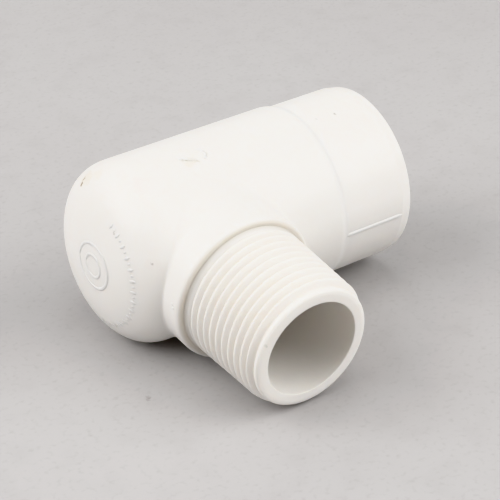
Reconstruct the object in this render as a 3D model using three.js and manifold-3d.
// A 3/4 inch white PVC elbow: a barrel with a domed closed end, an open pipe socket at its other end,
// and a male tapered pipe thread that leaves its side through a round boss.
// Millimetres, +Z up. The elbow lies as it rests on a table: the barrel's axis runs along X with the
// socket towards +X, and the outlet leaves towards -Y and droops until its last thread touches down.
import * as THREE from 'three';
import { mergeVertices } from 'three/addons/utils/BufferGeometryUtils.js';
import Module from 'manifold-3d';

const wasm = await Module();
wasm.setup();

// Barrel: X is measured from the plane where the outlet's axis crosses the barrel's axis.
const BODY_RADIUS = 17.95;
const BODY_END = 26.75;
const DOME_START = -9.7;
const DOME_DEPTH = 10.8;
const DOME_EXPONENT = 2.36;      // 2 would be an ellipse; more is fuller at the shoulder
const BODY_RIM_LENGTH = 1.75;    // the rounded rim where the body steps down to the hub
const WATERWAY_RADIUS = 11.6;
const DOME_WALL = 5.6;

// Hub: the socket end, a little smaller than the body.
const HUB_RADIUS = 17.45;
const HUB_END = 43.0;
const HUB_BEVEL_LENGTH = 2.3;
const HUB_BEVEL_DROP = 0.42;
const SOCKET_MOUTH_RADIUS = 13.44;
const SOCKET_STOP_RADIUS = 13.28;
const SOCKET_DEPTH = 25.4;
const SOCKET_LEAD_IN = 0.5;
const HUB_SPIGOT_RADIUS = 15.6;
const HUB_SPIGOT_START = 16.6;

// Outlet: lengths are measured along its axis from the barrel's axis.
const BOSS_RADIUS = 14.92;
const BOSS_FACE = 21.5;
const BOSS_RIM = 1.0;
const OUTLET_SPIGOT_RADIUS = 11.9;
const OUTLET_SPIGOT_START = 16.0;
const COLLAR_RADIUS = 13.8;           // a cone runs from the boss's face down into the first groove
const COLLAR_SLOPE = 1.7;
const NOSE_RADIUS = 11.8;
const NOSE_START = 40.9;
const NOSE_STEP = 0.15;               // from the last groove up to the nose
const NOSE_END = 42.0;
const NOSE_BEVEL = 0.6;
const BORE_MOUTH_RADIUS = 9.63;
const BORE_INNER_RADIUS = 9.4;

// 3/4 inch taper pipe thread, 14 turns to the inch, right-hand.
const PITCH = 25.4 / 14;
const THREAD_TAPER = 1 / 32;          // radius lost for each millimetre towards the nose
const THREAD_SMALL_END = 38.9;
const THREAD_SMALL_RADIUS = 13.02;
const THREAD_HEIGHT = 0.8 * PITCH;
const THREAD_CREST_AT = 23.52;        // a crest's place on the side that faces the dome
const CREST_FLAT = 0.24;              // shares of the pitch
const ROOT_FLAT = 0.12;
const FULL_CREST_FROM = 22.3;         // the first crest rises out of the boss's face up to here
const FULL_CREST_TO = 39.9;           // and the last one falls away from here to the nose

const CLEARANCE = 0.3;                // between a spigot and the recess that it is cemented in
const OVERSHOOT = 1;                  // a cutting tool runs this far past the face that it cuts
const ROUND_SEGMENTS = 64;
const THREAD_SEGMENTS = 40;
const THREAD_ROWS_PER_PITCH = 6;
const DOME_STEPS = 8;
const RIM_STEPS = 3;
const MERGE_DISTANCE = 1e-4;

const BODY_WHITE = 0xf2f0ea;
const SOCKET_WHITE = 0xf3f1ec;
const THREAD_WHITE = 0xf0ebe4;
const SATIN_ROUGHNESS = 0.42;

// ---- Profiles: lists of [radius, height along the axis] ----

function dome(start, depth, radius) {
  const points = [];
  for (let step = 0; step <= DOME_STEPS; step++) {
    const turn = (step / DOME_STEPS) * Math.PI / 2;
    const across = Math.pow(Math.sin(turn), 2 / DOME_EXPONENT);
    const along = Math.pow(Math.cos(turn), 2 / DOME_EXPONENT);
    points.push([step === 0 ? 0 : radius * across, start - depth * (step === DOME_STEPS ? 0 : along)]);
  }
  return points;
}

function roundedRim(radius, end, drop, length) {
  const points = [];
  for (let step = 0; step <= RIM_STEPS; step++) {
    const turn = (step / RIM_STEPS) * Math.PI / 2;
    points.push([radius - drop * (1 - Math.cos(turn)), end - length * (1 - Math.sin(turn))]);
  }
  return points;
}

// ---- Solids ----

function lathe(points, segments = ROUND_SEGMENTS) {
  return new THREE.LatheGeometry(points.map(([r, z]) => new THREE.Vector2(r, z)), segments);
}

function toSolid(geometry) {
  const bare = geometry.clone();
  bare.deleteAttribute('normal');
  bare.deleteAttribute('uv');
  const merged = mergeVertices(bare, MERGE_DISTANCE);
  const mesh = new wasm.Mesh({
    numProp: 3,
    vertProperties: new Float32Array(merged.attributes.position.array),
    triVerts: new Uint32Array(merged.index.array),
  });
  return new wasm.Manifold(mesh);
}

function toGeometry(solid) {
  const mesh = solid.getMesh();
  const geometry = new THREE.BufferGeometry();
  geometry.setAttribute('position', new THREE.BufferAttribute(new Float32Array(mesh.vertProperties), 3));
  geometry.setIndex(new THREE.BufferAttribute(new Uint32Array(mesh.triVerts), 1));
  geometry.computeVertexNormals();
  return geometry;
}

// A lathe turns about Y. The barrel's pieces turn that axis to +X and the outlet's turn it to -Y.
const toBarrel = new THREE.Matrix4().makeRotationZ(-Math.PI / 2);
const toOutlet = new THREE.Matrix4().makeRotationZ(Math.PI);

// The outlet droops until the corner of its last thread is as low as the underside of the barrel.
const droop = Math.asin(BODY_RADIUS / Math.hypot(THREAD_SMALL_END, THREAD_SMALL_RADIUS))
  - Math.atan2(THREAD_SMALL_RADIUS, THREAD_SMALL_END);
const toDrooped = new THREE.Matrix4().makeRotationX(droop).multiply(toOutlet);

function barrelSolid(points) {
  return toSolid(lathe(points).applyMatrix4(toBarrel));
}

function outletSolid(points) {
  return toSolid(lathe(points).applyMatrix4(toDrooped));
}

// ---- Elbow body: domed barrel and round boss, hollow, with a recess for the hub and one for the outlet ----

function elbowBody() {
  const shell = barrelSolid([
    ...dome(DOME_START, DOME_DEPTH, BODY_RADIUS),
    ...roundedRim(BODY_RADIUS, BODY_END - CLEARANCE / 2, BODY_RADIUS - HUB_RADIUS, BODY_RIM_LENGTH),
    [0, BODY_END - CLEARANCE / 2],
  ]);
  const boss = outletSolid([
    [0, 0], [BOSS_RADIUS, 0],
    ...roundedRim(BOSS_RADIUS, BOSS_FACE, BOSS_RIM, BOSS_RIM),
    [0, BOSS_FACE],
  ]);
  const waterway = barrelSolid([
    ...dome(DOME_START, DOME_DEPTH - DOME_WALL, WATERWAY_RADIUS),
    [WATERWAY_RADIUS, BODY_END + OVERSHOOT], [0, BODY_END + OVERSHOOT],
  ]);
  const hubRecess = barrelSolid([
    [0, HUB_SPIGOT_START - CLEARANCE], [HUB_SPIGOT_RADIUS + CLEARANCE, HUB_SPIGOT_START - CLEARANCE],
    [HUB_SPIGOT_RADIUS + CLEARANCE, BODY_END + OVERSHOOT], [0, BODY_END + OVERSHOOT],
  ]);
  const sideBore = outletSolid([
    [0, 0], [BORE_INNER_RADIUS, 0],
    [BORE_INNER_RADIUS, BOSS_FACE + OVERSHOOT], [0, BOSS_FACE + OVERSHOOT],
  ]);
  const outletRecess = outletSolid([
    [0, OUTLET_SPIGOT_START - CLEARANCE], [OUTLET_SPIGOT_RADIUS + CLEARANCE, OUTLET_SPIGOT_START - CLEARANCE],
    [OUTLET_SPIGOT_RADIUS + CLEARANCE, BOSS_FACE + OVERSHOOT], [0, BOSS_FACE + OVERSHOOT],
  ]);
  return toGeometry(shell.add(boss)
    .subtract(waterway).subtract(hubRecess).subtract(sideBore).subtract(outletRecess));
}

// ---- Socket end: hub with a tapered pipe socket, a stop ledge and a spigot that sits in the body ----

function socketEnd() {
  const stopAt = HUB_END - SOCKET_DEPTH;
  return lathe([
    [HUB_SPIGOT_RADIUS, HUB_SPIGOT_START],
    [HUB_SPIGOT_RADIUS, BODY_END + CLEARANCE / 2],
    [HUB_RADIUS, BODY_END + CLEARANCE / 2],
    [HUB_RADIUS, HUB_END - HUB_BEVEL_LENGTH],
    [HUB_RADIUS - HUB_BEVEL_DROP, HUB_END],
    [SOCKET_MOUTH_RADIUS + SOCKET_LEAD_IN, HUB_END],
    [SOCKET_MOUTH_RADIUS, HUB_END - SOCKET_LEAD_IN],
    [SOCKET_STOP_RADIUS, stopAt],
    [WATERWAY_RADIUS, stopAt],
    [WATERWAY_RADIUS, HUB_SPIGOT_START],
    [HUB_SPIGOT_RADIUS, HUB_SPIGOT_START],
  ]).applyMatrix4(toBarrel);
}

// ---- Threaded outlet: spigot, helical male thread from boss to nose, short plain nose and drafted bore ----

// Height of the thread's outline at a place along one pitch, from 0 at the root to 1 at the crest.
function threadForm(phase) {
  const fromCrest = Math.abs(phase - Math.round(phase));
  const flank = (1 - CREST_FLAT - ROOT_FLAT) / 2;
  return 1 - THREE.MathUtils.clamp((fromCrest - CREST_FLAT / 2) / flank, 0, 1);
}

function crestRadius(along) {
  return THREAD_SMALL_RADIUS + (THREAD_SMALL_END - along) * THREAD_TAPER;
}

function threadRadius(along, angle) {
  const lead = THREAD_CREST_AT + PITCH * (angle / (2 * Math.PI) - 0.5);
  const rise = THREE.MathUtils.smoothstep(along, BOSS_FACE, FULL_CREST_FROM);
  const fall = 1 - THREE.MathUtils.smoothstep(along, FULL_CREST_TO, NOSE_START);
  const form = threadForm((along - lead) / PITCH) * rise * fall;
  const collar = COLLAR_RADIUS - COLLAR_SLOPE * (along - BOSS_FACE);
  return Math.max(crestRadius(along) - THREAD_HEIGHT * (1 - form), collar);
}

function threadedOutlet() {
  const threadStart = BOSS_FACE + CLEARANCE;
  const rows = Math.round((NOSE_START - threadStart) / PITCH * THREAD_ROWS_PER_PITCH);
  const profile = [
    [OUTLET_SPIGOT_RADIUS, OUTLET_SPIGOT_START],
    [OUTLET_SPIGOT_RADIUS, threadStart],
  ];
  const firstRow = profile.length;
  for (let row = 0; row <= rows; row++) {
    profile.push([NOSE_RADIUS, THREE.MathUtils.lerp(threadStart, NOSE_START, row / rows)]);
  }
  profile.push(
    [NOSE_RADIUS, NOSE_START + NOSE_STEP],
    [NOSE_RADIUS, NOSE_END - NOSE_BEVEL],
    [NOSE_RADIUS - NOSE_BEVEL, NOSE_END],
    [BORE_MOUTH_RADIUS, NOSE_END],
    [BORE_INNER_RADIUS, OUTLET_SPIGOT_START],
    [OUTLET_SPIGOT_RADIUS, OUTLET_SPIGOT_START],
  );
  const geometry = lathe(profile, THREAD_SEGMENTS);
  const position = geometry.attributes.position;
  for (let index = 0; index < position.count; index++) {
    const row = index % profile.length;
    if (row < firstRow || row > firstRow + rows) continue;
    // Turned to its place, the lathe's X points back along -X and its Z stays, so the angle is from +X to +Z.
    const around = Math.atan2(position.getZ(index), -position.getX(index));
    const angle = around < 0 ? around + 2 * Math.PI : around;
    const radius = threadRadius(position.getY(index), angle);
    position.setX(index, -radius * Math.cos(around));
    position.setZ(index, radius * Math.sin(around));
  }
  return geometry.applyMatrix4(toDrooped);
}

// ---- Assembly ----

function part(name, geometry, colour) {
  const pvc = new THREE.MeshStandardMaterial({ color: colour, roughness: SATIN_ROUGHNESS, metalness: 0 });
  const mesh = new THREE.Mesh(geometry, pvc);
  mesh.name = name;
  return mesh;
}

const group = new THREE.Group();
group.add(part('elbow_body', elbowBody(), BODY_WHITE));
group.add(part('socket_end', socketEnd(), SOCKET_WHITE));
group.add(part('threaded_outlet', threadedOutlet(), THREAD_WHITE));

// The origin is the middle of the footprint, on the surface that the elbow rests on.
const extent = new THREE.Box3().setFromObject(group, true);
const middle = extent.getCenter(new THREE.Vector3());
group.position.set(-middle.x, -middle.y, -extent.min.z);
group.updateMatrixWorld(true);

export default group;
